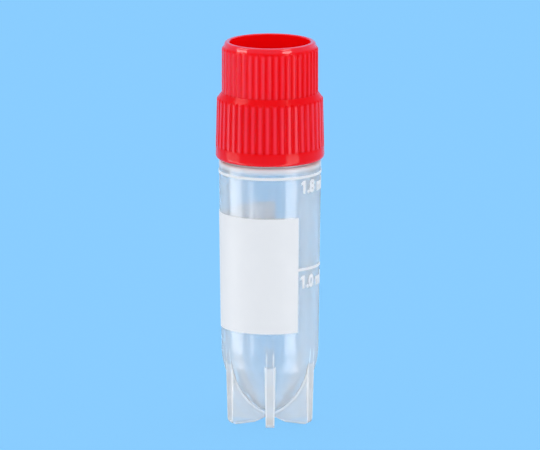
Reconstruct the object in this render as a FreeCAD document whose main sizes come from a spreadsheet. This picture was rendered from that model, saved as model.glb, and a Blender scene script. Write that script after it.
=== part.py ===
import FreeCAD, Part
import math
import os
import Sketcher

# Cryovial: a self-standing 2 ml freezer tube with a screw cap, in millimetres.
# The axis is +Z, the origin is where the axis meets the surface that the star foot stands on,
# and -Y is the front, where one of the foot's fins points.

SIZES = [
    # name, value, what it is (millimetres, except where it says degrees or a count)
    ("shoulder_height", 32.3, "foot to the ledge on which the wide part of the tube ends"),
    ("body_top_radius", 6.25, "outside of the tube under its shoulder"),
    ("body_foot_radius", 5.95, "outside of the tube where its rounded bottom starts"),
    ("shoulder_chamfer", 0.15, "shoulder's outer edge"),
    ("pole_height", 1.2, "foot to the lowest point of the rounded bottom"),
    ("nose_radius", 4.0, "ball that closes the bottom outside"),
    ("flank_radius", 9.3, "arc from that ball to the tube's side, in section"),
    ("pole_wall", 0.8, "wall at the lowest point of the bottom"),
    ("bore_nose_radius", 2.3, "ball that closes the bottom inside"),
    ("bore_flank_radius", 10, "arc from that ball to the bore's side, in section"),
    ("neck_height", 7.2, "shoulder to mouth"),
    ("neck_radius", 5.35, "root of the neck's outer thread"),
    ("neck_chamfer", 0.25, "outer edge of the mouth"),
    ("mouth_radius", 4.78, "bore at the mouth"),
    ("bore_taper", 0.3, "how much the bore's radius narrows, as moulded, down to its bottom"),
    ("mouth_chamfer", 0.12, "inner edge of the mouth, which leads the cap's plug in"),
    ("fin_count", 6, "count of fins in the star foot"),
    ("fin_radius", 5.65, "axis to a fin's outer edge, at the foot"),
    ("fin_thickness", 1.05, "a fin across, at the foot"),
    ("fin_draft", 1.2, "degrees by which the fins widen upwards"),
    ("fin_corner", 0.6, "radius of a fin's outer corner at the foot"),
    ("arch_radius", 2.5, "axis to where the arch under the star starts"),
    ("arch_height", 0.8, "rise of that arch at the axis"),
    ("skirt_gap", 0.3, "shoulder to the cap's lower edge when the cap is tight"),
    ("cap_height", 14.4, "lower edge of the cap to its rim"),
    ("skirt_radius", 6.65, "outside of the cap's lower tier, over its ridges, at the lower edge"),
    ("skirt_top_radius", 6.47, "the same at the top of the lower tier"),
    ("skirt_rounding", 0.5, "radius of the cap's lower outer edge"),
    ("skirt_bore_radius", 5.75, "root of the cap's inner thread"),
    ("skirt_chamfer", 0.2, "inner edge of the skirt, which leads the neck in"),
    ("tier_height", 7.4, "lower edge of the cap to the top of the lower tier"),
    ("step_height", 0.8, "height of the sloping step between the tiers"),
    ("crown_radius", 5.87, "outside of the cap's upper tier, over its ridges"),
    ("rim_bevel_width", 0.3, "bevel under the rim, on which the flutes run out, across"),
    ("rim_bevel_height", 0.6, "the same, upwards"),
    ("rim_rounding", 0.3, "radius of the rim's outer edge"),
    ("recess_radius", 4.95, "well in the top of the cap"),
    ("recess_chamfer", 0.1, "edge of that well"),
    ("crown_floor", 1.3, "thickness between the well and the inside of the cap"),
    ("plug_clearance", 0.1, "radial gap between the cap's plug and the mouth"),
    ("plug_wall", 0.7, "wall of the plug, a ring that enters the mouth"),
    ("plug_length", 3.0, "inside top of the cap to the end of the plug"),
    ("plug_taper", 0.3, "bevel that leads the plug in"),
    ("flute_count", 45, "count of flutes round each tier"),
    ("flute_width", 0.48, "a flute across, at the tier's outer surface"),
    ("flute_depth", 0.15, "depth of a flute, whose section is an arc"),
    ("flute_start", 1.5, "lower edge of the cap to the lower end of the lower flutes"),
    ("tight_angle", 1.3, "degrees from the front at which the tight cap's first flute stops"),
    ("seal_thickness", 0.8, "height of the silicone ring"),
    ("seal_overhang", 0.2, "how far the ring reaches past the neck"),
]

SHEET = "Sizes"


class Dim:
    """A length that carries its number and the sheet formula it comes from."""

    def __init__(self, value, formula):
        self.value = value
        self.formula = formula

    def joined(self, sign, other, value):
        return Dim(value, "(%s %s %s)" % (self.formula, sign, as_dim(other).formula))

    def __add__(self, other):
        return self.joined("+", other, self.value + as_dim(other).value)

    def __sub__(self, other):
        return self.joined("-", other, self.value - as_dim(other).value)

    def __mul__(self, other):
        return self.joined("*", other, self.value * as_dim(other).value)

    def __truediv__(self, other):
        return self.joined("/", other, self.value / as_dim(other).value)

    def __neg__(self):
        return Dim(-self.value, "(-1 * %s)" % self.formula)


def as_dim(number):
    """Let a plain number stand where a Dim is wanted."""
    return number if isinstance(number, Dim) else Dim(float(number), "%g" % number)


def root(dim):
    """Square root of a Dim."""
    return Dim(math.sqrt(dim.value), "sqrt(%s)" % dim.formula)


def slope_angle(across, up):
    """Angle in degrees, from the vertical, of a slope given as two Dims."""
    degrees = math.degrees(math.atan2(across.value, up.value))
    return Dim(degrees, "atan2(%s; %s)" % (across.formula, up.formula))


def fill_sheet(document):
    """Write the sizes into the document's spreadsheet and return them as Dims, by name."""
    sheet = document.addObject("Spreadsheet::Sheet", SHEET)
    dims = {}
    for row, (name, value, meaning) in enumerate(SIZES, start=1):
        sheet.set("A%d" % row, name)
        sheet.set("B%d" % row, "%g" % value)
        sheet.set("C%d" % row, meaning)
        sheet.setAlias("B%d" % row, name)
        dims[name] = Dim(float(value), "%s.%s" % (SHEET, name))
    document.recompute()
    return dims


doc = FreeCAD.newDocument("cryovial")
size = fill_sheet(doc)
ZERO = as_dim(0)

# Heights and radii that pieces share, worked out once.
neck_top = size["shoulder_height"] + size["neck_height"]
cap_seat = size["shoulder_height"] + size["skirt_gap"]
cap_ceiling = size["neck_height"] + size["seal_thickness"] - size["skirt_gap"]
well_floor = cap_ceiling + size["crown_floor"]
plug_radius = size["mouth_radius"] - size["plug_clearance"]


def new_body(label, lift, turn=None):
    """A PartDesign body named after its node, standing at a height and turned about the axis."""
    body = doc.addObject("PartDesign::Body", label)
    body.Label = label
    body.Placement = FreeCAD.Placement(
        FreeCAD.Vector(0, 0, lift.value),
        FreeCAD.Rotation(FreeCAD.Vector(0, 0, 1), turn.value if turn else 0),
    )
    body.setExpression("Placement.Base.z", lift.formula)
    if turn:
        body.setExpression("Placement.Rotation.Angle", turn.formula)
    return body


def origin_feature(body, role):
    """The body's own origin plane or axis that has this role."""
    return next(item for item in body.Origin.OriginFeatures if item.Role == role)


def new_sketch(body, name, role, lift=ZERO, tilt=ZERO):
    """A sketch on an origin plane of the body, lifted off it and tilted about its own X."""
    sketch = body.newObject("Sketcher::SketchObject", name)
    sketch.AttachmentSupport = [(origin_feature(body, role), "")]
    sketch.MapMode = "FlatFace"
    sketch.AttachmentOffset = FreeCAD.Placement(
        FreeCAD.Vector(0, 0, lift.value),
        FreeCAD.Rotation(FreeCAD.Vector(1, 0, 0), tilt.value),
    )
    sketch.setExpression("AttachmentOffset.Base.z", lift.formula)
    sketch.setExpression("AttachmentOffset.Rotation.Angle", tilt.formula)
    return sketch


def bind(sketch, kind, references, dim):
    """Add a driving constraint and tie its value to the sheet."""
    value = math.radians(dim.value) if kind == "Angle" else dim.value
    index = sketch.addConstraint(Sketcher.Constraint(kind, *references, value))
    sketch.setExpression("Constraints[%d]" % index, dim.formula)


def place_point(sketch, geometry, end, point):
    """Hold one end of a line or arc at its two coordinates."""
    for kind, dim in zip(("DistanceX", "DistanceY"), point):
        bind(sketch, kind, (-1, 1, geometry, end), dim)


def arc_between(start, end, centre):
    """The arc from start to end round centre, the short way, and whether it runs clockwise."""
    radius = math.hypot(start[0] - centre[0], start[1] - centre[1])
    from_angle = math.atan2(start[1] - centre[1], start[0] - centre[0])
    to_angle = math.atan2(end[1] - centre[1], end[0] - centre[0])
    sweep = (to_angle - from_angle + math.pi) % (2 * math.pi) - math.pi
    low, high = sorted((from_angle, from_angle + sweep))
    circle = Part.Circle(FreeCAD.Vector(*centre, 0), FreeCAD.Vector(0, 0, 1), radius)
    return Part.ArcOfCircle(circle, low, high), sweep < 0


def draw_outline(sketch, corners):
    """Close an outline through corners (x, y), or (x, y, centre) where an arc leads to the corner.

    Every corner is held at its coordinates and every arc at its radius.
    """
    flat = [tuple(dim.value for dim in corner[:2]) for corner in corners]
    starts = []
    ends = []
    for index, corner in enumerate(corners):
        start, end = flat[index - 1], flat[index]
        if len(corner) == 2:
            line = Part.LineSegment(FreeCAD.Vector(*start, 0), FreeCAD.Vector(*end, 0))
            geometry = sketch.addGeometry(line)
            start_end = (1, 2)
        else:
            centre = tuple(dim.value for dim in corner[2])
            arc, clockwise = arc_between(start, end, centre)
            geometry = sketch.addGeometry(arc)
            start_end = (2, 1) if clockwise else (1, 2)
        starts.append((geometry, start_end[0]))
        ends.append((geometry, start_end[1]))
    for index, corner in enumerate(corners):
        following = (index + 1) % len(corners)
        sketch.addConstraint(Sketcher.Constraint("Coincident", *ends[index], *starts[following]))
        place_point(sketch, *ends[index], corner[:2])
    for (geometry, _), corner in zip(ends, corners):
        if len(corner) == 3:
            centre = corner[2]
            across = corner[0] - centre[0]
            along = corner[1] - centre[1]
            bind(sketch, "Radius", (geometry,), root(across * across + along * along))


def turned(body, name, corners, feature="PartDesign::Revolution"):
    """Revolve an outline, drawn as radius and height, about the body's axis."""
    sketch = new_sketch(body, name + "_outline", "XZ_Plane")
    draw_outline(sketch, corners)
    solid = body.newObject(feature, name)
    solid.Profile = sketch
    solid.ReferenceAxis = (sketch, ["V_Axis"])
    solid.Angle = 360
    sketch.Visibility = False
    doc.recompute()
    return solid


def bored(body, name, corners):
    """Cut away what an outline sweeps when it is revolved about the body's axis."""
    return turned(body, name, corners, "PartDesign::Groove")


def patterned(body, name, feature, count):
    """Repeat a feature evenly round the body's axis."""
    pattern = body.newObject("PartDesign::PolarPattern", name)
    pattern.Originals = [feature]
    pattern.Axis = (origin_feature(body, "Z_Axis"), [""])
    pattern.Angle = 360
    pattern.Occurrences = int(count.value)
    pattern.setExpression("Occurrences", count.formula)
    body.Tip = pattern
    doc.recompute()
    return pattern


# ---------------------------------------------------------------- tube


def round_bottom(pole, nose, flank, side):
    """Corners of a rounded bottom, from the axis up: a ball, and a flank that runs into the side.

    The flank is an arc that touches the ball and the side, so neither join has a kink.
    """
    ball_centre = (ZERO, pole + nose)
    across = flank - side
    apart = flank - nose
    up = root(apart * apart - across * across)
    flank_centre = (-across, ball_centre[1] + up)
    touch = (flank * across / apart - across, flank_centre[1] - flank * up / apart, ball_centre)
    return [(ZERO, pole), touch, (side, flank_centre[1], flank_centre)]


def outer_bottom():
    """Rounded bottom outside."""
    return round_bottom(
        size["pole_height"], size["nose_radius"], size["flank_radius"], size["body_foot_radius"]
    )


def tube_outside():
    """Turned outside of the tube: bottom, drafted side, shoulder, neck and mouth."""
    edge = size["shoulder_chamfer"]
    chamfer = size["neck_chamfer"]
    return outer_bottom() + [
        (size["body_top_radius"], size["shoulder_height"] - edge),
        (size["body_top_radius"] - edge, size["shoulder_height"]),
        (size["neck_radius"], size["shoulder_height"]),
        (size["neck_radius"], neck_top - chamfer),
        (size["neck_radius"] - chamfer, neck_top),
        (ZERO, neck_top),
    ]


def tube_bore():
    """Sample space: the same rounded bottom inside, a drafted bore and the eased mouth."""
    chamfer = size["mouth_chamfer"]
    bottom = round_bottom(
        size["pole_height"] + size["pole_wall"],
        size["bore_nose_radius"],
        size["bore_flank_radius"],
        size["mouth_radius"] - size["bore_taper"],
    )
    return bottom + [
        (size["mouth_radius"], neck_top - chamfer),
        (size["mouth_radius"] + chamfer, neck_top),
        (ZERO, neck_top),
    ]


def add_star_foot(body):
    """Fins that widen upwards, arched under the middle and rounded at their outer corners."""
    footprint = new_sketch(body, "fin_footprint", "XY_Plane")
    half = size["fin_thickness"] / 2
    draw_outline(
        footprint,
        [(-half, ZERO), (-half, -size["fin_radius"]), (half, -size["fin_radius"]), (half, ZERO)],
    )
    fin_height = outer_bottom()[-1][1]
    fin = body.newObject("PartDesign::Pad", "fin")
    fin.Profile = footprint
    fin.Length = fin_height.value
    fin.setExpression("Length", fin_height.formula)
    fin.TaperAngle = size["fin_draft"].value
    fin.setExpression("TaperAngle", size["fin_draft"].formula)
    footprint.Visibility = False
    doc.recompute()
    patterned(body, "star_foot", fin, size["fin_count"])
    bored(
        body,
        "arch",
        [(ZERO, ZERO), (size["arch_radius"], ZERO), (ZERO, size["arch_height"])],
    )
    corner = size["fin_corner"]
    inner = size["fin_radius"] - corner
    outside = size["fin_radius"] + corner
    bored(
        body,
        "foot_corners",
        [
            (outside, ZERO),
            (outside, corner),
            (size["fin_radius"], corner),
            (inner, ZERO, (inner, corner)),
        ],
    )


def make_tube():
    body = new_body("tube", ZERO)
    turned(body, "outside", tube_outside())
    add_star_foot(body)
    bored(body, "sample_space", tube_bore())
    return body


# ---------------------------------------------------------------- screw cap


def skirt_radius_at(height):
    """Outside radius of the cap's drafted lower tier at a height above its lower edge."""
    draft = (size["skirt_radius"] - size["skirt_top_radius"]) / size["tier_height"]
    return size["skirt_radius"] - draft * height


def cap_outside():
    """Turned outside of the cap: rounded lower edge, drafted tier, step, upper tier and rim."""
    edge = size["skirt_rounding"]
    edge_radius = skirt_radius_at(edge)
    step_top = size["tier_height"] + size["step_height"]
    rim = size["rim_rounding"]
    bevel_radius = size["crown_radius"] - size["rim_bevel_width"]
    bevel_height = size["cap_height"] - rim
    return [
        (ZERO, ZERO),
        (edge_radius - edge, ZERO),
        (edge_radius, edge, (edge_radius - edge, edge)),
        (size["skirt_top_radius"], size["tier_height"]),
        (size["crown_radius"], step_top),
        (size["crown_radius"], bevel_height - size["rim_bevel_height"]),
        (bevel_radius, bevel_height),
        (bevel_radius - rim, size["cap_height"], (bevel_radius - rim, bevel_height)),
        (ZERO, size["cap_height"]),
    ]


def cap_inside():
    """Threaded socket of the cap, left standing round its plug."""
    lead_in = size["skirt_chamfer"]
    plug_end = cap_ceiling - size["plug_length"]
    plug_inside = plug_radius - size["plug_wall"]
    taper = size["plug_taper"]
    return [
        (ZERO, ZERO),
        (size["skirt_bore_radius"] + lead_in, ZERO),
        (size["skirt_bore_radius"], lead_in),
        (size["skirt_bore_radius"], cap_ceiling),
        (plug_radius, cap_ceiling),
        (plug_radius, plug_end + taper),
        (plug_radius - taper, plug_end),
        (plug_inside, plug_end),
        (plug_inside, cap_ceiling),
        (ZERO, cap_ceiling),
    ]


def cap_well():
    """Well in the cap's top, with an eased edge."""
    chamfer = size["recess_chamfer"]
    return [
        (ZERO, well_floor),
        (size["recess_radius"], well_floor),
        (size["recess_radius"], size["cap_height"] - chamfer),
        (size["recess_radius"] + chamfer, size["cap_height"]),
        (ZERO, size["cap_height"]),
    ]


def add_flutes(body, name, start, radius, length, draft=ZERO):
    """Flutes round one tier, each a round cutter that starts at a height and follows the draft."""
    depth = size["flute_depth"]
    cutter = (size["flute_width"] * size["flute_width"] / 4 + depth * depth) / (depth * 2)
    middle = radius - depth + cutter
    sketch = new_sketch(body, name + "_section", "XY_Plane", start, -draft)
    centre = FreeCAD.Vector(0, -middle.value, 0)
    circle = Part.Circle(centre, FreeCAD.Vector(0, 0, 1), cutter.value)
    geometry = sketch.addGeometry(circle)
    sketch.addConstraint(Sketcher.Constraint("PointOnObject", geometry, 3, -2))
    bind(sketch, "DistanceY", (geometry, 3, -1, 1), middle)
    bind(sketch, "Radius", (geometry,), cutter)
    sketch.Visibility = False
    doc.recompute()
    flute = body.newObject("PartDesign::Pocket", name)
    flute.Profile = sketch
    flute.Reversed = True
    flute.Length = length.value
    flute.setExpression("Length", length.formula)
    doc.recompute()
    return patterned(body, name + "_ring", flute, size["flute_count"])


def make_cap():
    body = new_body("screw_cap", cap_seat, size["tight_angle"])
    turned(body, "outside", cap_outside())
    bored(body, "socket", cap_inside())
    bored(body, "well", cap_well())
    draft = slope_angle(size["skirt_radius"] - size["skirt_top_radius"], size["tier_height"])
    step_top = size["tier_height"] + size["step_height"]
    add_flutes(
        body,
        "skirt_flutes",
        size["flute_start"],
        skirt_radius_at(size["flute_start"]),
        step_top - size["flute_start"],
        draft,
    )
    add_flutes(
        body,
        "crown_flutes",
        step_top,
        size["crown_radius"],
        size["cap_height"] - step_top,
    )
    return body


# ---------------------------------------------------------------- seal ring


def make_seal():
    """Flat silicone ring that the cap squeezes onto the neck's end, round the plug."""
    body = new_body("seal_ring", neck_top)
    outer = size["neck_radius"] + size["seal_overhang"]
    turned(
        body,
        "ring",
        [
            (size["mouth_radius"], ZERO),
            (outer, ZERO),
            (outer, size["seal_thickness"]),
            (size["mouth_radius"], size["seal_thickness"]),
        ],
    )
    return body


# ---------------------------------------------------------------- check and write

pieces = [make_tube(), make_cap(), make_seal()]
doc.recompute()

for item in doc.Objects:
    faults = [word for word in item.State if word in ("Invalid", "Error")]
    if faults:
        raise RuntimeError("%s did not compute: %s" % (item.Name, ", ".join(faults)))

os.makedirs("parts", exist_ok=True)
for piece in pieces:
    shape = piece.Shape
    if shape.isNull() or not shape.isValid() or len(shape.Solids) != 1:
        raise RuntimeError("%s is not one valid solid" % piece.Label)
    shape.exportStep("parts/%s.step" % piece.Label)
    box = shape.BoundBox
    print(
        "%-10s %9.2f mm3   z %6.2f to %6.2f   radius %5.2f"
        % (piece.Label, shape.Volume, box.ZMin, box.ZMax, box.XLength / 2)
    )
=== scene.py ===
# %% [markdown]
# # A self-standing cryovial
# A cryovial keeps a frozen sample. A milky, see-through tube stands on a star of six fins, and a
# red cap with two fluted tiers screws onto its neck. The tube, the cap and the seal come from the
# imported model, where their shapes are fixed. This file gives them their plastics, prints the
# writing field and the volume marks on the tube, and adds the two threads that the cap turns on.

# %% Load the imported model
import math
from collections import Counter

import bpy
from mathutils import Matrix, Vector


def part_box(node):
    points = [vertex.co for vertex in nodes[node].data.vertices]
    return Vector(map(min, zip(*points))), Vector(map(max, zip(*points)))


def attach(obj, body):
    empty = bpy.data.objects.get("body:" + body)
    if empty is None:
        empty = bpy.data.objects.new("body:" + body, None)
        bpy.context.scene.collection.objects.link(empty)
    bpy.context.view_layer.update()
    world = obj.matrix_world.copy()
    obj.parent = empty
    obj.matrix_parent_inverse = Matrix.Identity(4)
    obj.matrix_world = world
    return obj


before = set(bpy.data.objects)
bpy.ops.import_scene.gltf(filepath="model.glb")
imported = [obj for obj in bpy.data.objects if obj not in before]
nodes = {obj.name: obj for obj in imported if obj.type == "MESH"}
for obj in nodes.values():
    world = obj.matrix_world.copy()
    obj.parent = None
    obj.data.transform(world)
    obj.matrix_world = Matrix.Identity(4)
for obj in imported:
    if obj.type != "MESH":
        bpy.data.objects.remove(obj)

MM = 0.001
SAME_PLACE = 0.0001 * MM
SMOOTH_ANGLE = math.radians(30)
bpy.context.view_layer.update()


def deselect_all():
    """Leave edit mode and empty the selection, because operators act on all that is selected."""
    if bpy.context.object and bpy.context.object.mode != "OBJECT":
        bpy.ops.object.mode_set(mode="OBJECT")
    bpy.ops.object.select_all(action="DESELECT")


deselect_all()

# %% [markdown]
# ## Where things lie
# Everything that is added lies on the tube or inside the cap, so its place is read from those two
# pieces and no height is guessed twice. The tube is moulded, and its side leans outwards a little
# on the way up so that it leaves the mould. The lean is measured here once, because print on the
# side has to lean with it.

# %% Measure the tube and the cap
WIDE = 6 * MM  # only the tube's side and shoulder lie further than this from the axis
BOTTOM_JOIN = (8 * MM, 10 * MM)  # between these heights the side runs into the round bottom
ABOVE_SHOULDER = 2 * MM  # clear of the ledge, where the neck is left alone
FOOT_PART = 2 * MM  # the lowest part of the fins
SKIRT_EDGE = 0.5 * MM  # the lowest part of the cap


def radius_of(point):
    """Distance of a point from the vial's axis."""
    return math.hypot(point.x, point.y)


def points_between(node, low, high):
    """Points of a node between two heights."""
    return [v.co for v in nodes[node].data.vertices if low <= v.co.z <= high]


tube_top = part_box("tube")[1].z
cap_low, cap_top = (corner.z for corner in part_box("screw_cap"))
side_points = [p for p in points_between("tube", 0, tube_top) if radius_of(p) > WIDE]
shoulder = max(p.z for p in side_points)
side_top = max(side_points, key=radius_of)
side_foot = max(points_between("tube", *BOTTOM_JOIN), key=radius_of)
neck_points = points_between("tube", shoulder + ABOVE_SHOULDER, tube_top)
neck_radius = max(radius_of(p) for p in neck_points)
fin_radius = max(radius_of(p) for p in points_between("tube", 0, FOOT_PART))
skirt_points = points_between("screw_cap", cap_low, cap_low + SKIRT_EDGE)
socket_radius = min(radius_of(p) for p in skirt_points)


def side_radius(height):
    """Radius of the tube's leaning side at a height."""
    share = (height - side_foot.z) / (side_top.z - side_foot.z)
    return radius_of(side_foot) + (radius_of(side_top) - radius_of(side_foot)) * share


print("side from %.2f to %.2f mm, radius %.3f to %.3f mm" % tuple(
    x / MM for x in (side_foot.z, side_top.z, radius_of(side_foot), radius_of(side_top))))
print("neck radius %.2f mm, socket radius %.2f mm" % (neck_radius / MM, socket_radius / MM))

# %% [markdown]
# ## Camera
# The vial is seen from the front and a little above, through a long lens, so that its sides stay
# nearly upright and parallel. Distance and lens belong together: the further the camera, the
# longer the lens that keeps the vial the same size in the picture.

# %% Camera
CAMERA_DISTANCE = 1.4
CAMERA_ELEVATION = math.radians(11.4)
PICTURE_WIDTH = 65.85 * MM  # how much the picture shows, measured at the vial
LOOK_AT = Vector((0, 0, 24.2 * MM))

towards_camera = Vector((0, -math.cos(CAMERA_ELEVATION), math.sin(CAMERA_ELEVATION)))
bpy.ops.object.camera_add(location=LOOK_AT + towards_camera * CAMERA_DISTANCE)
camera = bpy.context.object
camera.name = "camera"
camera.rotation_euler = (-towards_camera).to_track_quat("-Z", "Y").to_euler()
camera.data.lens = camera.data.sensor_width * CAMERA_DISTANCE / PICTURE_WIDTH
camera.data.clip_start = 0.1
camera.data.clip_end = 20
bpy.context.scene.camera = camera
bpy.context.scene.view_settings.view_transform = "Standard"
print("lens %.0f mm at %.1f m" % (camera.data.lens, CAMERA_DISTANCE))

# %% [markdown]
# ## A plain pale stage
# The vial stands on pale blue paper that runs on to the horizon. What the camera, a mirror-like
# gloss or the clear tube sees of the paper is mostly its own plain colour, so that the background
# is even, and the rest of it is lit as paper is, so that it keeps the vial's soft shadow. The
# Light Path node tells these rays apart. The sky beyond the paper is white where it only gives
# light, and pale blue where it is seen.

# %% Helpers for shader nodes


def add_node(tree, kind, **settings):
    """A new shader node. Settings name its inputs (spaces as underscores) or its properties."""
    node = tree.nodes.new(kind)
    for name, value in settings.items():
        label = name.replace("_", " ")
        if label in node.inputs:
            node.inputs[label].default_value = value
        else:
            setattr(node, name, value)
    return node


def feed(tree, socket, value):
    """Give a socket its value, which is a number or another node's socket."""
    if isinstance(value, bpy.types.NodeSocket):
        tree.links.new(value, socket)
    else:
        socket.default_value = value


def math_node(tree, operation, first, second=0.0, third=0.0, clamp=False):
    """A Math node. Each of its inputs is a socket or a number."""
    node = add_node(tree, "ShaderNodeMath", operation=operation, use_clamp=clamp)
    for socket, value in zip(node.inputs, (first, second, third)):
        feed(tree, socket, value)
    return node.outputs[0]


def mix_colours(tree, share, first, second):
    """A colour between two others. The share is the second one's."""
    mix = add_node(tree, "ShaderNodeMix", data_type="RGBA")
    for label, value in (("Factor", share), ("A", first), ("B", second)):
        feed(tree, mix.inputs[label], value)
    return mix.outputs["Result"]


def mix_shaders(tree, share, first, second):
    """A shader between two others, which are nodes. The share is the second one's."""
    mix = add_node(tree, "ShaderNodeMixShader")
    feed(tree, mix.inputs[0], share)
    tree.links.new(first.outputs[0], mix.inputs[1])
    tree.links.new(second.outputs[0], mix.inputs[2])
    return mix


def new_finish(name):
    """A material with its Principled BSDF, and the tree that both stand in."""
    finish = bpy.data.materials.new(name)
    finish.use_nodes = True
    return finish, finish.node_tree.nodes["Principled BSDF"], finish.node_tree


def seen_rays(tree):
    """A socket that is 1 for rays that look, straight on, in a gloss or through clear plastic.

    A ray that has met a matt surface on its way only gathers light for it, so it doesn't count.
    """
    path = add_node(tree, "ShaderNodeLightPath")
    socket = path.outputs["Is Camera Ray"]
    for name in ("Is Glossy Ray", "Is Transmission Ray"):
        socket = math_node(tree, "MAXIMUM", socket, path.outputs[name])
    return math_node(tree, "SUBTRACT", socket, path.outputs["Diffuse Depth"], clamp=True)


# %% Paper
PAPER_COLOUR = (0.25, 0.604, 0.991, 1)
PAPER_BOUNCE = (0.82, 0.84, 0.86, 1)  # what the vial gets back, so that it isn't tinted blue
PAPER_GLOW = 0.85  # how much of the seen colour is the paper's own, free of shadow
PAPER_SIZE = 12

deselect_all()
bpy.ops.mesh.primitive_plane_add(size=PAPER_SIZE, location=(0, 0, 0))
floor = bpy.context.object
floor.name = "floor"

paper, paper_shader, tree = new_finish("pale_blue_paper")
path = add_node(tree, "ShaderNodeLightPath")
bounced = mix_colours(tree, path.outputs["Is Diffuse Ray"], PAPER_COLOUR, PAPER_BOUNCE)
tree.links.new(bounced, paper_shader.inputs["Base Color"])
paper_shader.inputs["Roughness"].default_value = 1.0
paper_shader.inputs["Specular IOR Level"].default_value = 0.0
glow = add_node(tree, "ShaderNodeEmission", Color=PAPER_COLOUR, Strength=1.0)
share = math_node(tree, "MULTIPLY", seen_rays(tree), PAPER_GLOW)
blend = mix_shaders(tree, share, paper_shader, glow)
tree.links.new(blend.outputs[0], tree.nodes["Material Output"].inputs["Surface"])
floor.data.materials.append(paper)
print("paper: %s, %.0f m wide" % (paper.name, PAPER_SIZE))

# %% Sky
SKY_COLOUR = (1, 1, 1, 1)
SKY_LIGHT = 1.0

world = bpy.data.worlds.new("studio")
bpy.context.scene.world = world
world.use_nodes = True
tree = world.node_tree
sky = tree.nodes["Background"]
sky.inputs["Color"].default_value = SKY_COLOUR
sky.inputs["Strength"].default_value = SKY_LIGHT
seen_sky = add_node(tree, "ShaderNodeBackground", Color=PAPER_COLOUR, Strength=1.0)
blend = mix_shaders(tree, seen_rays(tree), sky, seen_sky)
tree.links.new(blend.outputs[0], tree.nodes["World Output"].inputs["Surface"])
print("sky:", world.name)

# %% [markdown]
# ## Strip lamps and a top light
# Glossy round things show their lamps as bright upright bands, so the lamps are placed for the
# bands that they make. A tall strip stands close to the vial on each side, with a narrow one
# between them, and a card on the paper carries the bands down the round bottom. So near, they
# would overlight the matt surfaces, so they show in gloss only. The sky and one large soft lamp
# above give the light itself. A lamp's power in watts depends on its area, so the helper takes
# how bright the lamp's face looks instead, where 1 is white paper.

# %% Helpers for lamps
STRIP_DISTANCE = 34 * MM
CARD_LIFT = 0.2 * MM


def softbox(name, azimuth, distance, height, width, tall, brightness):
    """A rectangular lamp that faces the vial. Its azimuth counts from the front to the right."""
    turn = math.radians(azimuth)
    place = Vector((math.sin(turn) * distance, -math.cos(turn) * distance, height))
    bpy.ops.object.light_add(type="AREA", location=place)
    lamp = bpy.context.object
    lamp.name = name
    lamp.rotation_euler = (Vector((0, 0, height)) - place).to_track_quat("-Z", "Y").to_euler()
    lamp.data.shape = "RECTANGLE"
    lamp.data.size = width
    lamp.data.size_y = tall
    lamp.data.energy = brightness * width * tall * math.pi
    lamp.visible_camera = False
    return lamp


def gloss_only(lamp):
    """Let a lamp show in glossy surfaces only, so that it doesn't overlight the matt ones."""
    lamp.visible_diffuse = False
    lamp.visible_transmission = False


def strip(name, azimuth, width, parts):
    """A tall strip near the vial, in parts given by their low and high ends and brightness."""
    for number, ((low, high), brightness) in enumerate(parts.items(), 1):
        gloss_only(softbox("%s_%d" % (name, number), azimuth, STRIP_DISTANCE,
                           (low + high) / 2, width, high - low, brightness))


def floor_card(name, azimuth, near, far, width, brightness):
    """A lamp that lies on the paper and faces up, and reaches from near the vial to far."""
    card = softbox(name, azimuth, (near + far) / 2, CARD_LIFT, width, far - near, brightness)
    card.rotation_euler = (math.pi, 0, math.radians(azimuth))
    gloss_only(card)


# %% Lamps
LEFT, MIDWAY, RIGHT = -79, -40, 45  # azimuths in degrees
LOWER, MIDDLE, UPPER = (1 * MM, 25 * MM), (25 * MM, 44 * MM), (62 * MM, 86 * MM)  # heights
TOP_HEIGHT, TOP_OFFSET, TOP_SIZE, TOP_BRIGHTNESS = 0.6, 10 * MM, 0.5, 0.5

deselect_all()
strip("left_strip", LEFT, 20 * MM, {LOWER: 4.5, MIDDLE: 2.0, UPPER: 6.5})
strip("right_strip", RIGHT, 15 * MM, {LOWER: 5.0, MIDDLE: 3.2, UPPER: 6.5})
strip("narrow_strip", MIDWAY, 5 * MM, {LOWER: 2.8})
floor_card("left_card", LEFT, 15 * MM, STRIP_DISTANCE, 15 * MM, 2.0)
floor_card("right_card", RIGHT, 13 * MM, STRIP_DISTANCE, 11 * MM, 3.5)
top_lamp = softbox("top_softbox", 0, TOP_OFFSET, TOP_HEIGHT, TOP_SIZE, TOP_SIZE, TOP_BRIGHTNESS)
top_lamp.rotation_euler = (0, 0, 0)  # straight down

# %% [markdown]
# ## Two effects that the plastics share
# A moulded surface isn't quite smooth: it copies the fine grain of its mould and pulls in a
# little as it cools. It also isn't quite one colour, because the melt streaks as it flows up the
# mould. Both effects are node groups, built once and placed in each plastic with their own
# values. They read Object coordinates, which are metres on the real thing.

# %% Group: moulded skin


def new_group(name, inputs, outputs):
    """A shader node group with float inputs, given with their defaults, and outputs by type."""
    group = bpy.data.node_groups.new(name, "ShaderNodeTree")
    for label, default in inputs.items():
        socket = group.interface.new_socket(
            name=label, in_out="INPUT", socket_type="NodeSocketFloat")
        socket.default_value = default
    for label, kind in outputs.items():
        group.interface.new_socket(name=label, in_out="OUTPUT", socket_type=kind)
    start = group.nodes.new("NodeGroupInput")
    end = group.nodes.new("NodeGroupOutput")
    return group, start, end


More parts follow.
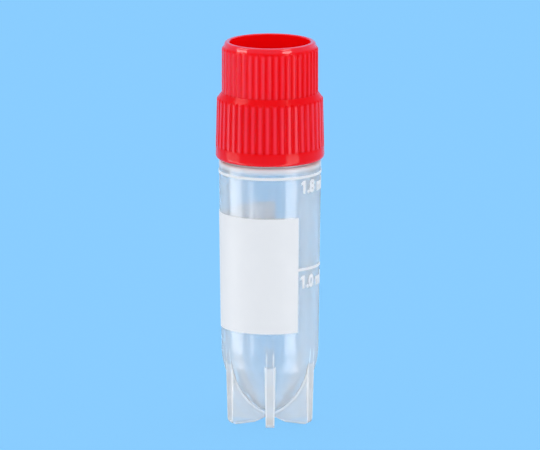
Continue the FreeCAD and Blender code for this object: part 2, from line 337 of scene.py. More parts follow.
skin, start, end = new_group(
    "moulded_skin",
    {"Grain Scale": 9000.0, "Dimple Scale": 500.0, "Dimple Share": 0.7,
     "Gloss Low": 0.1, "Gloss High": 0.16},
    {"Roughness": "NodeSocketFloat", "Height": "NodeSocketFloat"},
)
place = add_node(skin, "ShaderNodeTexCoord")
grain = add_node(skin, "ShaderNodeTexNoise", Detail=2.0)
dimples = add_node(skin, "ShaderNodeTexNoise", Detail=3.0)
for texture, label in ((grain, "Grain Scale"), (dimples, "Dimple Scale")):
    skin.links.new(place.outputs["Object"], texture.inputs["Vector"])
    skin.links.new(start.outputs[label], texture.inputs["Scale"])
height = add_node(skin, "ShaderNodeMix", data_type="FLOAT")
skin.links.new(start.outputs["Dimple Share"], height.inputs["Factor"])
skin.links.new(grain.outputs["Fac"], height.inputs["A"])
skin.links.new(dimples.outputs["Fac"], height.inputs["B"])
gloss = add_node(skin, "ShaderNodeMapRange", From_Min=0.35, From_Max=0.65)
skin.links.new(dimples.outputs["Fac"], gloss.inputs["Value"])
skin.links.new(start.outputs["Gloss Low"], gloss.inputs["To Min"])
skin.links.new(start.outputs["Gloss High"], gloss.inputs["To Max"])
skin.links.new(gloss.outputs["Result"], end.inputs["Roughness"])
skin.links.new(height.outputs["Result"], end.inputs["Height"])
print("group", skin.name, "gives", [s.name for s in end.inputs if s.name])

# %% Group: flow streaks
streaks, start, end = new_group(
    "flow_streaks",
    {"Scale": 900.0, "Stretch": 0.12, "Strength": 0.5},
    {"Mask": "NodeSocketFloat"},
)
place = add_node(streaks, "ShaderNodeTexCoord")
stretch = add_node(streaks, "ShaderNodeCombineXYZ", X=1.0, Y=1.0)
streaks.links.new(start.outputs["Stretch"], stretch.inputs["Z"])
drawn_out = add_node(streaks, "ShaderNodeVectorMath", operation="MULTIPLY")
streaks.links.new(place.outputs["Object"], drawn_out.inputs[0])
streaks.links.new(stretch.outputs["Vector"], drawn_out.inputs[1])
melt = add_node(streaks, "ShaderNodeTexNoise", Detail=3.0, Roughness=0.55)
streaks.links.new(drawn_out.outputs["Vector"], melt.inputs["Vector"])
streaks.links.new(start.outputs["Scale"], melt.inputs["Scale"])
mask = add_node(streaks, "ShaderNodeMapRange", From_Min=0.3, From_Max=0.7)
streaks.links.new(melt.outputs["Fac"], mask.inputs["Value"])
streaks.links.new(start.outputs["Strength"], mask.inputs["To Max"])
streaks.links.new(mask.outputs["Result"], end.inputs["Mask"])
print("group", streaks.name, "gives", [s.name for s in end.inputs if s.name])

# %% Helpers that place the groups


def place_group(tree, group, **values):
    """An instance of a group in a material. Values name its inputs, spaces as underscores."""
    node = tree.nodes.new("ShaderNodeGroup")
    node.node_tree = group
    for name, value in values.items():
        node.inputs[name.replace("_", " ")].default_value = value
    return node


def give_skin(tree, shader, depth, **values):
    """Wire a moulded skin into a shader's roughness and normal. Depth is the bump's height."""
    surface = place_group(tree, skin, **values)
    tree.links.new(surface.outputs["Roughness"], shader.inputs["Roughness"])
    bump = add_node(tree, "ShaderNodeBump", Distance=depth, Strength=1.0)
    tree.links.new(surface.outputs["Height"], bump.inputs["Height"])
    tree.links.new(bump.outputs["Normal"], shader.inputs["Normal"])


def streak_colour(tree, shader, plain, streaked, **values):
    """Colour a shader plain, with a second colour where the melt streaked."""
    flow = place_group(tree, streaks, **values)
    colour = mix_colours(tree, flow.outputs["Mask"], plain, streaked)
    tree.links.new(colour, shader.inputs["Base Color"])


# %% [markdown]
# ## Where the plastic is thick, and painted highlights on it
# Haze adds up with depth. A wall one millimetre thick looks clear, while a fin that is seen along
# its whole depth looks white. Paint can't know how deep the plastic is, so Math nodes work it out
# from the place: the round bottom is an arc turned round the axis, and what lies beyond that arc
# is a fin. The edges of a fin, its foot, the line where it meets the bottom and two short lines at
# its root gather the most light, and are made whiter still as painted highlights. The ring of
# plastic under the cap looks white, partly for its thickness and partly as painted light that
# lifts the shade of the cap. The masks that come out are added to the tube's haze.

# %% Helpers for masks


def product(tree, *factors):
    """All the factors multiplied."""
    result = factors[0]
    for factor in factors[1:]:
        result = math_node(tree, "MULTIPLY", result, factor)
    return result


def largest(tree, *values):
    """The largest of the values."""
    result = values[0]
    for value in values[1:]:
        result = math_node(tree, "MAXIMUM", result, value)
    return result


def soft_step(tree, value, origin, edge):
    """0 up to the edge's start, 1 past its end, and a soft step between, counted from an origin.

    The end may be the lower one of the two, and then the mask is 1 below it.
    """
    start, end = edge
    step = add_node(tree, "ShaderNodeMapRange", interpolation_type="SMOOTHSTEP",
                    From_Min=origin + start, From_Max=origin + end)
    tree.links.new(value, step.inputs["Value"])
    return step.outputs["Result"]


def length(tree, across, up):
    """Length of a straight line that goes so far across and so far up."""
    squares = [math_node(tree, "POWER", leg, 2.0) for leg in (across, up)]
    return math_node(tree, "SQRT", math_node(tree, "ADD", *squares))


def axes_of(tree):
    """Sockets with a point's X, Y and Z on its piece, and its distance from the vial's axis."""
    place = add_node(tree, "ShaderNodeTexCoord")
    axes = add_node(tree, "ShaderNodeSeparateXYZ")
    tree.links.new(place.outputs["Object"], axes.inputs[0])
    x, y, z = axes.outputs
    return x, y, z, length(tree, x, y)


# %% Thick parts of the tube, and painted highlights on them
FLANK_RADIUS = 9.3 * MM  # the arc by which the side runs into the round bottom
FINS = 6
FIN_PHASE = 90 + 360  # one fin points at 90 degrees, and a whole turn more keeps angles positive

# Soft edges: where a mask starts, and where it is full.
FIN_EDGE = (0.01 * MM, 0.06 * MM)  # beyond the arc
WELD_EDGE = (0.4 * MM, 0.15 * MM)  # beyond the arc
TIP_EDGE = (-0.16 * MM, -0.06 * MM)  # from the outer face of a fin
BORDER_EDGE = (0.36 * MM, 0.44 * MM)  # beside the middle of a fin
FOOT_EDGE = (0.35 * MM, 0.15 * MM)  # above the underside
ROOT_SIDES = (0.3 * MM, 0.4 * MM), (0.56 * MM, 0.46 * MM)  # beside the middle of a fin
ROOT_HEIGHTS = (7.0 * MM, 7.6 * MM), (9.8 * MM, 8.8 * MM)  # above the underside
ROOT_DEPTH = (5.4 * MM, 5.5 * MM)  # off the axis
LEDGE_HEIGHTS = (-1.1 * MM, -0.2 * MM), (1.6 * MM, 0.6 * MM)  # from the shoulder

# Haze of a fin's body; the tip, border, foot, weld and root values are painted highlights, whiter
# plastic for the light that gathers at a fin's edges and root.
FIN_HAZE, TIP_HIGHLIGHT, BORDER_HIGHLIGHT, FOOT_HIGHLIGHT, WELD_HIGHLIGHT = 0.12, 0.3, 0.6, 0.3, 0.36
# The ledge's value is partly haze of the thick plastic there and partly painted light that lifts
# the shade under the cap.
ROOT_HIGHLIGHT, LEDGE_HAZE_AND_PAINTED_LIGHT = 0.45, 0.75


def haze_and_painted_lines(tree):
    """Two masks for the tube: the haze of its fins with painted highlights on their edges and
    roots, and the ledge's haze with painted light.
    """
    x, y, z, distance = axes_of(tree)
    out = math_node(tree, "ADD", distance, FLANK_RADIUS - radius_of(side_foot))
    down = math_node(tree, "SUBTRACT", z, side_foot.z)
    reach = length(tree, out, down)
    below = math_node(tree, "LESS_THAN", z, side_foot.z)
    in_fin = product(tree, below, soft_step(tree, reach, FLANK_RADIUS, FIN_EDGE))

    turn = math_node(tree, "ADD", math_node(tree, "ARCTAN2", y, x), math.radians(FIN_PHASE))
    off_fin = math_node(tree, "PINGPONG", turn, math.pi / FINS)
    beside = product(tree, off_fin, distance)

    tip = soft_step(tree, distance, fin_radius, TIP_EDGE)
    border = product(tree, tip, soft_step(tree, beside, 0, BORDER_EDGE))
    foot = soft_step(tree, z, 0, FOOT_EDGE)
    inwards = math_node(tree, "SUBTRACT", 1.0, tip)
    weld = product(tree, inwards, soft_step(tree, reach, FLANK_RADIUS, WELD_EDGE))
    # Painted highlights: the tip, border, foot and weld masks make a fin's edges whiter.
    bright = largest(tree, product(tree, tip, TIP_HIGHLIGHT), product(tree, border, BORDER_HIGHLIGHT),
                     product(tree, foot, FOOT_HIGHLIGHT), product(tree, weld, WELD_HIGHLIGHT))
    fins = product(tree, in_fin, math_node(tree, "ADD", bright, FIN_HAZE))

    # Painted highlight: two short whiter lines up the wall beside each fin's root.
    root = product(
        tree,
        *(soft_step(tree, beside, 0, edge) for edge in ROOT_SIDES),
        *(soft_step(tree, z, 0, edge) for edge in ROOT_HEIGHTS),
        soft_step(tree, distance, 0, ROOT_DEPTH),
        ROOT_HIGHLIGHT,
    )
    # Ledge: whiter plastic round the shoulder, partly for its thickness and partly painted light
    # against the cap's shade.
    ledge = product(
        tree, *(soft_step(tree, z, shoulder, edge) for edge in LEDGE_HEIGHTS), LEDGE_HAZE_AND_PAINTED_LIGHT)
    return largest(tree, fins, root), ledge


# %% [markdown]
# ## The wall behind the print
# Ink wets the plastic that it's printed on, so there is no air between the two, and from inside
# the tube the wall behind the writing field looks as white as the field's face. That is why the
# far part of the field shows through the front of the tube as a crisp pale sheet. The place of
# the field is set here, and a mask marks the part of the inner wall that has it behind.

# %% The wall behind the writing field
FIELD_LOW, FIELD_HIGH = 11.8 * MM, 26.1 * MM
FIELD_EDGE = 34.0  # degrees from the front to the right, where the field ends
FIELD_SWEEP = 222.0  # degrees from there to the left
INSIDE = -0.2 * MM  # from the side's own radius: only the wall of the bore lies within


def backed_wall(tree):
    """A mask for the part of the inner wall that has the writing field behind it."""
    x, y, z, distance = axes_of(tree)
    azimuth = math_node(tree, "ARCTAN2", x, product(tree, y, -1.0))
    middle = math.radians(FIELD_EDGE - FIELD_SWEEP / 2)
    from_middle = math_node(tree, "SUBTRACT", azimuth, middle)
    off_middle = math_node(
        tree, "ABSOLUTE", math_node(tree, "WRAP", from_middle, math.pi, -math.pi))
    return product(
        tree,
        math_node(tree, "LESS_THAN", off_middle, math.radians(FIELD_SWEEP / 2)),
        math_node(tree, "LESS_THAN", distance, radius_of(side_foot) + INSIDE),
        math_node(tree, "GREATER_THAN", z, FIELD_LOW),
        math_node(tree, "LESS_THAN", z, FIELD_HIGH),
    )


print("writing field: %.1f mm high, %.0f degrees round" % (
    (FIELD_HIGH - FIELD_LOW) / MM, FIELD_SWEEP))

# %% [markdown]
# ## Milky polypropylene for the tube
# The tube is natural polypropylene: glossy and see-through, but clouded inside, so that a thick
# wall, or one seen at a slant, looks whiter than a thin one. Glass alone would be too clear and
# paint too dense. So two shaders are mixed: clear plastic, and the same plastic clouded, which
# lets light soak through. Layer Weight knows how slanted the wall is seen and sets the share.
# A third, matt shader stands in where the writing field lies behind the wall. Lamp rays go
# through nearly unhindered, as they do through a thin wall, so that the inside of the tube is
# lit.

# %% Tube finish
PLASTIC_IOR = 1.49
TUBE_STREAKS = dict(Scale=700.0, Stretch=0.08)
TUBE_SKIN = dict(depth=0.0006 * MM, Gloss_Low=0.06, Gloss_High=0.1)
EVEN_SOAK = (1.0, 1.0, 1.0)
BACKING = 0.9  # share of the matt shader behind the field
CLEARNESS = 0.95
SLANTS, CLOUDS = (0.01, 0.35), (0.085, 0.28)  # as the slant grows, so does the cloudy share


def give_soak(shader, weight, radius, scale):
    """Let light soak into a shader, by how much, how far for each colour, and at what scale."""
    shader.inputs["Subsurface Weight"].default_value = weight
    shader.inputs["Subsurface Radius"].default_value = radius
    shader.inputs["Subsurface Scale"].default_value = scale


def open_to_lamps(tree, look, tint):
    """Show a look, and let lamp rays through it with a tint."""
    path = add_node(tree, "ShaderNodeLightPath")
    through = add_node(tree, "ShaderNodeBsdfTransparent", Color=tint)
    shown = mix_shaders(tree, path.outputs["Is Shadow Ray"], look, through)
    tree.links.new(shown.outputs[0], tree.nodes["Material Output"].inputs["Surface"])


tube_plastic, clear, tree = new_finish("milky_polypropylene")
clear.inputs["IOR"].default_value = PLASTIC_IOR
clear.inputs["Transmission Weight"].default_value = CLEARNESS
streak_colour(tree, clear, (0.93, 0.93, 0.94, 1), (0.88, 0.88, 0.9, 1), **TUBE_STREAKS)
give_skin(tree, clear, **TUBE_SKIN)

cloudy = add_node(tree, "ShaderNodeBsdfPrincipled", IOR=PLASTIC_IOR)
give_soak(cloudy, 1.0, EVEN_SOAK, 1.2 * MM)
streak_colour(tree, cloudy, (0.94, 0.965, 0.99, 1), (0.88, 0.915, 0.95, 1), **TUBE_STREAKS)
give_skin(tree, cloudy, **TUBE_SKIN)

slant = add_node(tree, "ShaderNodeLayerWeight", Blend=0.5)
cloud = add_node(tree, "ShaderNodeMapRange", From_Min=SLANTS[0], From_Max=SLANTS[1],
                 To_Min=CLOUDS[0], To_Max=CLOUDS[1])
tree.links.new(slant.outputs["Facing"], cloud.inputs["Value"])
# Beside real haze, these masks carry painted highlights on the fins and painted light at the
# ledge.
fin_mask, ledge = haze_and_painted_lines(tree)
straight = math_node(tree, "SUBTRACT", 1.0, slant.outputs["Facing"])
depth = product(tree, fin_mask, straight)
haze = math_node(tree, "ADD", cloud.outputs["Result"], depth, clamp=True)
plastic = mix_shaders(tree, largest(tree, haze, ledge), clear, cloudy)

wetted = add_node(tree, "ShaderNodeBsdfPrincipled", IOR=PLASTIC_IOR, Roughness=0.3)
streak_colour(
    tree, wetted, (0.96, 0.97, 0.98, 1), (0.93, 0.945, 0.96, 1), Scale=500.0, Stretch=1.0)
printed = mix_shaders(tree, product(tree, backed_wall(tree), BACKING), plastic, wetted)
open_to_lamps(tree, printed, (0.97, 0.975, 0.98, 1))
nodes["tube"].material_slots[0].material = tube_plastic
print("tube:", tube_plastic.name)

# %% [markdown]
# ## Red cap
# The cap is the same kind of plastic with a strong red pigment, and light soaks in a little way
# before it comes back, which makes the ridges glow and fills the grooves. The flutes of the cap
# are cut with sharp edges, and on the real cap the mould leaves them rounded. A Bevel node
# rounds them for the light only: it averages the normal across each ridge, so that every ridge
# catches its own thin bright line, and the shape stays as it is. The crests of the ridges, the
# band under them and the rim are also polished by the mould. A group finds the crests from the
# turn round the axis, and its mask gives them a crown, a thin coat of gloss and a paler red, which
# is a painted sheen: lighter colour that stands in for the light that the crests reflect.

# %% Group: ridge crests
FLUTES = 45
OUTER_WALL = 5 * MM  # the fluted wall lies further than this from the axis
GROOVE_FLOOR = 0.01 * MM  # points this near to the smallest radius are in a groove
CREST_SHARPNESS = 1.5
CREST_DEPTH = (5.2 * MM, 5.4 * MM)  # off the axis
SKIRT_FLUTES = (1.5 * MM, 7.5 * MM)  # above the cap's edge
CROWN_FLUTES = (8.1 * MM, 13.7 * MM)  # above the cap's edge


def groove_phase(low, high):
    """Where the grooves of a tier lie, as an angle in radians of one groove's turn."""
    ring = [p for p in points_between("screw_cap", low, high) if radius_of(p) > OUTER_WALL]
    floor_radius = min(radius_of(p) for p in ring) + GROOVE_FLOOR
    turns = [FLUTES * math.atan2(p.y, p.x) for p in ring if radius_of(p) < floor_radius]
    return math.atan2(sum(map(math.sin, turns)), sum(map(math.cos, turns)))


def ramp(tree, top, bottom, fade):
    """The height between two others, counted in fades and kept between 0 and 1."""
    return math_node(tree, "DIVIDE", math_node(tree, "SUBTRACT", top, bottom), fade, clamp=True)


crests, start, end = new_group(
    "ridge_crests",
    {"Phase": 0.0, "Low": 0.0, "High": 1.0, "Fade": 0.3 * MM},
    {"Mask": "NodeSocketFloat"},
)
x, y, z, distance = axes_of(crests)
turns = product(crests, math_node(crests, "ARCTAN2", y, x), float(FLUTES))
wave = math_node(crests, "COSINE", math_node(crests, "SUBTRACT", turns, start.outputs["Phase"]))
hump = math_node(crests, "MULTIPLY_ADD", wave, -0.5, 0.5)
ridge = math_node(crests, "POWER", hump, CREST_SHARPNESS)
rise = ramp(crests, z, start.outputs["Low"], start.outputs["Fade"])
fall = ramp(crests, start.outputs["High"], z, start.outputs["Fade"])
outside = soft_step(crests, distance, 0, CREST_DEPTH)
crests.links.new(product(crests, ridge, rise, fall, outside), end.inputs["Mask"])

# A straight groove has points at its ends only, so each tier's grooves are found near one end.
skirt_low, skirt_high = (cap_low + height for height in SKIRT_FLUTES)
crown_low, crown_high = (cap_low + height for height in CROWN_FLUTES)
skirt_phase = groove_phase(skirt_low + 0.1 * MM, skirt_low + 0.2 * MM)
crown_phase = groove_phase(crown_high - 0.25 * MM, crown_high - 0.1 * MM)
print("groove phases: skirt %.2f, crown %.2f" % (skirt_phase, crown_phase))

# %% Cap finish
# Painted sheen: the crests' paler red stands in for the light that they reflect.
PAINTED_CREST_SHEEN = (0.96, 0.028, 0.056, 1)
RIM_EDGE = (-0.7 * MM, -0.4 * MM)  # from the top of the cap
BAND_EDGE = (0, -0.3 * MM)  # from the foot of the skirt's flutes
RIM_COAT, RIDGE_COAT = 0.8, 0.25
RIDGE_ROUNDING, RIDGE_CROWN = 0.14 * MM, 0.05 * MM
COAT_ROUGHNESS = 0.06

cap_plastic, shader, tree = new_finish("red_cap_plastic")
shader.inputs["IOR"].default_value = PLASTIC_IOR
shader.inputs["Specular IOR Level"].default_value = 0.08
give_soak(shader, 0.6, (1.0, 0.06, 0.05), 0.8 * MM)
streak_colour(
    tree, shader, (0.88, 0.002, 0.004, 1), (0.82, 0.0015, 0.003, 1), Scale=600.0, Stretch=0.3)
give_skin(tree, shader, 0.0008 * MM, Gloss_Low=0.1, Gloss_High=0.16)

skirt_crests = place_group(tree, crests, Phase=skirt_phase, Low=skirt_low, High=skirt_high)
crown_crests = place_group(tree, crests, Phase=crown_phase, Low=crown_low, High=crown_high)
crest = math_node(tree, "ADD", skirt_crests.outputs["Mask"], crown_crests.outputs["Mask"])
body_colour = shader.inputs["Base Color"].links[0].from_socket
# Painted sheen: the crest mask gives the crests the paler red.
tree.links.new(mix_colours(tree, crest, body_colour, PAINTED_CREST_SHEEN), shader.inputs["Base Color"])

height = axes_of(tree)[2]
rim = product(tree, soft_step(tree, height, cap_top, RIM_EDGE), RIM_COAT)
band = soft_step(tree, height, skirt_low, BAND_EDGE)
lacquer = largest(tree, rim, product(tree, largest(tree, band, crest), RIDGE_COAT))
tree.links.new(lacquer, shader.inputs["Coat Weight"])
shader.inputs["Coat Roughness"].default_value = COAT_ROUGHNESS

rounded = add_node(tree, "ShaderNodeBevel", samples=6, Radius=RIDGE_ROUNDING)
crowned = add_node(tree, "ShaderNodeBump", Distance=RIDGE_CROWN, Strength=1.0)
tree.links.new(crest, crowned.inputs["Height"])
tree.links.new(rounded.outputs["Normal"], crowned.inputs["Normal"])
fine_skin = shader.inputs["Normal"].links[0].from_node
tree.links.new(crowned.outputs["Normal"], fine_skin.inputs["Normal"])
nodes["screw_cap"].material_slots[0].material = cap_plastic
print("cap:", cap_plastic.name)

# %% [markdown]
# ## Silicone seal
# The seal is a flat washer of soft white silicone between the rim of the neck and the roof of the
# cap. It shows only when the cap is off. Silicone is duller than the plastics beside it, and its
# skin is a little dusty, so it takes the same skin group with a rougher range.

# %% Seal finish
seal_silicone, shader, tree = new_finish("seal_silicone")
shader.inputs["IOR"].default_value = 1.41
give_soak(shader, 0.5, EVEN_SOAK, 0.5 * MM)
streak_colour(
    tree, shader, (0.88, 0.88, 0.86, 1), (0.82, 0.82, 0.8, 1), Scale=900.0, Stretch=1.0)
give_skin(tree, shader, 0.002 * MM, Gloss_Low=0.35, Gloss_High=0.5)
nodes["seal_ring"].material_slots[0].material = seal_silicone
print("seal:", seal_silicone.name)

# %% [markdown]
# ## White ink
# The writing field and the marks are screen printed in white. The ink lies in a film of a few
# hundredths of a millimetre, matt so that a pen takes on it, and thin enough for some light to
# soak through: a Translucent shader takes a small share beside the matt one. Lamp rays pass it
# a little weakened, so that the tube is no darker behind the field.

# %% Ink finish
SOAK_SHARE = 0.14

ink, shader, tree = new_finish("white_print")
shader.inputs["IOR"].default_value = 1.45
shader.inputs["Specular IOR Level"].default_value = 0.3
streak_colour(
    tree, shader, (0.9, 0.925, 0.965, 1), (0.87, 0.9, 0.945, 1), Scale=500.0, Stretch=1.0)
give_skin(tree, shader, 0.002 * MM, Gloss_Low=0.5, Gloss_High=0.6)
soaked = add_node(tree, "ShaderNodeBsdfTranslucent", Color=(0.96, 0.97, 0.99, 1))
open_to_lamps(tree, mix_shaders(tree, SOAK_SHARE, shader, soaked), (0.90, 0.905, 0.91, 1))
print("ink:", ink.name)

# %% [markdown]
# ## Writing field and volume marks
# Print follows the side of the tube. A flat sheet could be bent round it, but an open cone with
# the side's own lean already lies right everywhere, so each printed area starts as such a cone.
# In edit mode the faces outside its part of the turn are deleted, and Solidify gives the film its
# thickness. The film starts a few thousandths of a millimetre off the side, so that the two
# surfaces never share a place.

# %% Films of ink
FILM_GAP = 0.006 * MM
FILM = 0.03 * MM
SEGMENTS = 240
FULL_TURN = 360.0


def azimuth_of(point):
    """Degrees round the axis, 0 at the front and counted to the right."""
    return math.degrees(math.atan2(point.x, -point.y))


def pick_faces(piece, wanted):
    """Select the faces that a test wants, and nothing else."""
    bpy.ops.object.mode_set(mode="EDIT")
    bpy.ops.mesh.select_mode(type="FACE")
    bpy.ops.mesh.select_all(action="DESELECT")
    bpy.ops.object.mode_set(mode="OBJECT")
    for face in piece.data.polygons:
        face.select = wanted(face)


def finish_print(piece):
    """Give a printed piece its ink, and let it ride on the tube."""
    piece.data.materials.clear()
    piece.data.materials.append(ink)
    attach(piece, "tube")
    print("%s: %d faces" % (piece.name, len(piece.data.polygons)))


def film_on_side(name, low, high, start=0.0, sweep=FULL_TURN):
    """A film of ink on the tube's side between two heights, from a start azimuth and on."""
    deselect_all()
    bpy.ops.mesh.primitive_cone_add(
        vertices=SEGMENTS,
        radius1=side_radius(low) + FILM_GAP,
        radius2=side_radius(high) + FILM_GAP,
        depth=high - low,
        end_fill_type="NOTHING",
        location=(0, 0, (low + high) / 2),
    )
    film = bpy.context.object
    film.name = name
    bpy.ops.object.transform_apply(location=True, rotation=True, scale=True)
    if sweep < FULL_TURN:
        pick_faces(film, lambda face: (azimuth_of(face.center) - start) % FULL_TURN > sweep)
        bpy.ops.object.mode_set(mode="EDIT")
        bpy.ops.mesh.delete(type="FACE")
        bpy.ops.object.mode_set(mode="OBJECT")
    wall = film.modifiers.new("thickness", "SOLIDIFY")
    wall.thickness = FILM
    wall.offset = 1.0
    bpy.ops.object.modifier_apply(modifier=wall.name)
    bpy.ops.object.shade_smooth_by_angle(angle=SMOOTH_ANGLE)
    finish_print(film)


# %% Writing field, ring and line
LINE = 0.34 * MM  # how thick a line is
MARK_1_8 = 31.07 * MM  # the height of a mark is that of its middle
MARK_1_0 = 19.6 * MM
LINE_SWEEP = 51.0

film_on_side("writing_field", FIELD_LOW, FIELD_HIGH, FIELD_EDGE - FIELD_SWEEP, FIELD_SWEEP)
film_on_side("volume_ring_1_8", MARK_1_8 - LINE / 2, MARK_1_8 + LINE / 2)
film_on_side("volume_line_1_0", MARK_1_0 - LINE / 2, MARK_1_0 + LINE / 2, FIELD_EDGE, LINE_SWEEP)

# %% [markdown]
# ## Volume numerals
# Each mark has its volume under it, from the edge of the writing field to the right. The words
# are text objects, made bold by offsetting their outlines, and given the film's thickness. Then
# each becomes a mesh. Its numeral 1 is a plain bar in this lettering, so the upper part of the
# bar's left side is extruded into a slanted flag. The mesh is cut into upright strips narrow
# enough to bend, and is wrapped round the side: what was its width becomes a turn round the
# axis, and what was its depth becomes distance from the side.

# %% The flag of the numeral 1
HAIR = 0.01 * MM
TO_THE_LEFT = -0.9  # a face whose normal's X is lower than this looks to the left
STEM_WIDTH = 0.41 * MM
FLAG_ROOT = 0.4 * MM  # height of the flag where it leaves the stem
FLAG_REACH = 0.32 * MM
FLAG_DROP = 0.26 * MM
FLAG_TIP = 0.7  # height of the flag's tip, as a share of its root


def merge_corners():
    """Merge the corners of the active piece that share a place, and leave all selected."""
    bpy.ops.object.mode_set(mode="EDIT")
    bpy.ops.mesh.select_all(action="SELECT")
    bpy.ops.mesh.remove_doubles(threshold=SAME_PLACE)
    bpy.ops.object.mode_set(mode="OBJECT")


def add_flag(letters):
    """Draw the slanted flag of the first numeral, a 1, out of the upper part of its stem."""
    corners = [v.co for v in letters.data.vertices]
    stem_left = min(c.x for c in corners)
    top = max(c.y for c in corners if c.x < stem_left + HAIR)
    pick_faces(letters, lambda face: face.center.x < stem_left + STEM_WIDTH)
    bpy.ops.object.mode_set(mode="EDIT")
    bpy.ops.mesh.bisect(plane_co=(0, top - FLAG_ROOT, 0), plane_no=(0, 1, 0))
    bpy.ops.object.mode_set(mode="OBJECT")
    pick_faces(letters, lambda face: (
        face.normal.x < TO_THE_LEFT
        and face.center.x < stem_left + HAIR
        and face.center.y > top - FLAG_ROOT
    ))
    bpy.ops.object.mode_set(mode="EDIT")
    bpy.ops.mesh.extrude_region_move()
    bpy.ops.transform.translate(value=(-FLAG_REACH, -FLAG_DROP, 0))
    bpy.ops.transform.resize(value=(1, FLAG_TIP, 1), center_override=(0, top - FLAG_DROP, 0))
    bpy.ops.object.mode_set(mode="OBJECT")


# %% Numerals
TEXT_SIZE = 2 * MM
BOLDNESS = 0.1 * MM
CURVE_STEPS = 3
DIGIT_HEIGHT = 1.68 * MM
TEXT_START = 37.3  # degrees from the front to the right
TEXT_SWEEP = 45.5
BEND_STEP = 0.25 * MM
GAP_1_8, GAP_1_0 = 0.26 * MM, 0.55 * MM


def bold_numerals(name, words):
    """Bold numerals that lie flat, with the film's thickness."""
    deselect_all()
    bpy.ops.object.text_add(location=(0, 0, 0))
    letters = bpy.context.object
    letters.name = name
    letters.data.body = words
    letters.data.size = TEXT_SIZE
    letters.data.offset = BOLDNESS
    letters.data.extrude = FILM / 2
    letters.data.resolution_u = CURVE_STEPS
    bpy.ops.object.convert(target="MESH")
    merge_corners()
    add_flag(bpy.context.object)
    return bpy.context.object


def numerals_on_side(name, words, mark, gap):
    """Bold numerals, a gap under a volume mark, wrapped on the side."""
    letters = bold_numerals(name, words)
    corners = [v.co for v in letters.data.vertices]
    left, right = min(c.x for c in corners), max(c.x for c in corners)
    low, high = min(c.y for c in corners), max(c.y for c in corners)
    top = mark - LINE / 2 - gap
    width = math.radians(TEXT_SWEEP) * side_radius(top)
    stretch = (width / (right - left), DIGIT_HEIGHT / (high - low), 1)
    bpy.ops.object.mode_set(mode="EDIT")
    bpy.ops.mesh.select_all(action="SELECT")
    bpy.ops.transform.translate(value=(-left, -high, 0))
    bpy.ops.transform.resize(value=stretch, center_override=(0, 0, 0))
    for cut in range(1, int(width / BEND_STEP)):
        bpy.ops.mesh.select_all(action="SELECT")
        bpy.ops.mesh.bisect(plane_co=(cut * BEND_STEP, 0, 0), plane_no=(1, 0, 0))
    bpy.ops.object.mode_set(mode="OBJECT")
    for vertex in letters.data.vertices:
        x, y, z = vertex.co
        height = top + y
        turn = math.radians(TEXT_START) + x / side_radius(top)
        out = side_radius(height) + FILM_GAP + FILM / 2 + z
        vertex.co = (math.sin(turn) * out, -math.cos(turn) * out, height)
    finish_print(letters)


numerals_on_side("numerals_1_8_ml", "1.8 ml", MARK_1_8, GAP_1_8)
numerals_on_side("numerals_1_0_ml", "1.0 ml", MARK_1_0, GAP_1_0)

# %% [markdown]
# ## Two threads
# The cap turns on a thread that has room to run: a rib winds once round the neck, and another
# winds inside the cap, half a turn's rise above it. Both show when the cap is off. A rib starts
# as a flat cross-section, and the Screw modifier winds it up the axis. Its two ends are extruded
# a little further round and drawn into the wall, as a mould maker lets a thread run out.

# %% The ends of a rib
LEAD = 4 * MM  # how far a whole turn rises
RIB_ROOT = 1.1 * MM  # width at the wall
RUN_OUT = math.radians(10)  # turn of each step
RUN_OUT_STEPS = 3


def pick_open_edges(rib, height):
    """Select the open edges of a rib that lie near a height, and nothing else."""
    bpy.ops.object.mode_set(mode="EDIT")
    bpy.ops.mesh.select_mode(type="EDGE")
    bpy.ops.mesh.select_all(action="DESELECT")
    bpy.ops.object.mode_set(mode="OBJECT")
    mesh = rib.data
    uses = Counter(key for face in mesh.polygons for key in face.edge_keys)
    for edge in mesh.edges:
        near = all(abs(mesh.vertices[i].co.z - height) < RIB_ROOT for i in edge.vertices)
        edge.select = uses[edge.key] == 1 and near


def run_out(draw_in, way):
    """Close the picked end, and extrude it further round and into the wall, up or down."""
    bpy.ops.object.mode_set(mode="EDIT")
    bpy.ops.mesh.edge_face_add()
    for _ in range(RUN_OUT_STEPS):
        bpy.ops.mesh.extrude_region_move()
        bpy.ops.transform.resize(value=(draw_in, draw_in, 1), center_override=(0, 0, 0))
        bpy.ops.transform.translate(value=(0, 0, way * LEAD * RUN_OUT / math.tau))
        bpy.ops.transform.rotate(value=-way * RUN_OUT, orient_axis="Z", center_override=(0, 0, 0))
    bpy.ops.object.mode_set(mode="OBJECT")


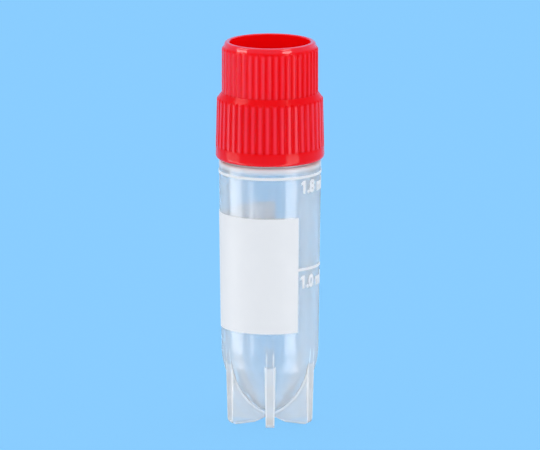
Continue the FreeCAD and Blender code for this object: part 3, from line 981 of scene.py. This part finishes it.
# %% Threads
RIB_CREST = 0.5 * MM  # width at the crest
RIB_SINK = 0.08 * MM  # how deep the rib stands in the wall
RIB_HEIGHT = 0.28 * MM
STEPS_A_TURN = 72
NECK_TURNS, CAP_TURNS = 1.0, 0.8
NECK_START = shoulder + 1.2 * MM
CAP_START = NECK_START + LEAD / 2


def thread_rib(name, wall, crest, start, turns, body, finish):
    """A rib wound up a wall, with its ends drawn into it."""
    inner = wall - RIB_SINK if crest > wall else wall + RIB_SINK
    deselect_all()
    bpy.ops.mesh.primitive_plane_add(
        size=1, location=(0, 0, 0), rotation=(math.radians(90), 0, 0))
    rib = bpy.context.object
    rib.name = name
    bpy.ops.object.transform_apply(location=True, rotation=True, scale=True)
    for vertex in rib.data.vertices:
        out, width = (crest, RIB_CREST) if vertex.co.x > 0 else (inner, RIB_ROOT)
        vertex.co = (out, 0, start + math.copysign(width / 2, vertex.co.z))
    bpy.ops.object.mode_set(mode="EDIT")
    bpy.ops.mesh.select_all(action="SELECT")
    bpy.ops.mesh.delete(type="ONLY_FACE")
    bpy.ops.object.mode_set(mode="OBJECT")
    winding = rib.modifiers.new("winding", "SCREW")
    winding.axis = "Z"
    winding.angle = math.tau * turns
    winding.screw_offset = LEAD * turns
    winding.steps = winding.render_steps = round(STEPS_A_TURN * turns)
    bpy.ops.object.modifier_apply(modifier=winding.name)
    for end, way in ((start, -1), (start + LEAD * turns, 1)):
        pick_open_edges(rib, end)
        run_out((wall / crest) ** (1 / RUN_OUT_STEPS), way)
    merge_corners()
    bpy.ops.object.mode_set(mode="EDIT")
    bpy.ops.mesh.normals_make_consistent(inside=False)
    bpy.ops.object.mode_set(mode="OBJECT")
    bpy.ops.object.shade_smooth_by_angle(angle=SMOOTH_ANGLE)
    rib.data.materials.append(finish)
    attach(rib, body)
    heights = [v.co.z / MM for v in rib.data.vertices]
    print("%s: %.2f to %.2f mm high" % (name, min(heights), max(heights)))


thread_rib("neck_thread", neck_radius, neck_radius + RIB_HEIGHT, NECK_START, NECK_TURNS,
           "tube", tube_plastic)
thread_rib("cap_thread", socket_radius, socket_radius - RIB_HEIGHT, CAP_START, CAP_TURNS,
           "cap", cap_plastic)
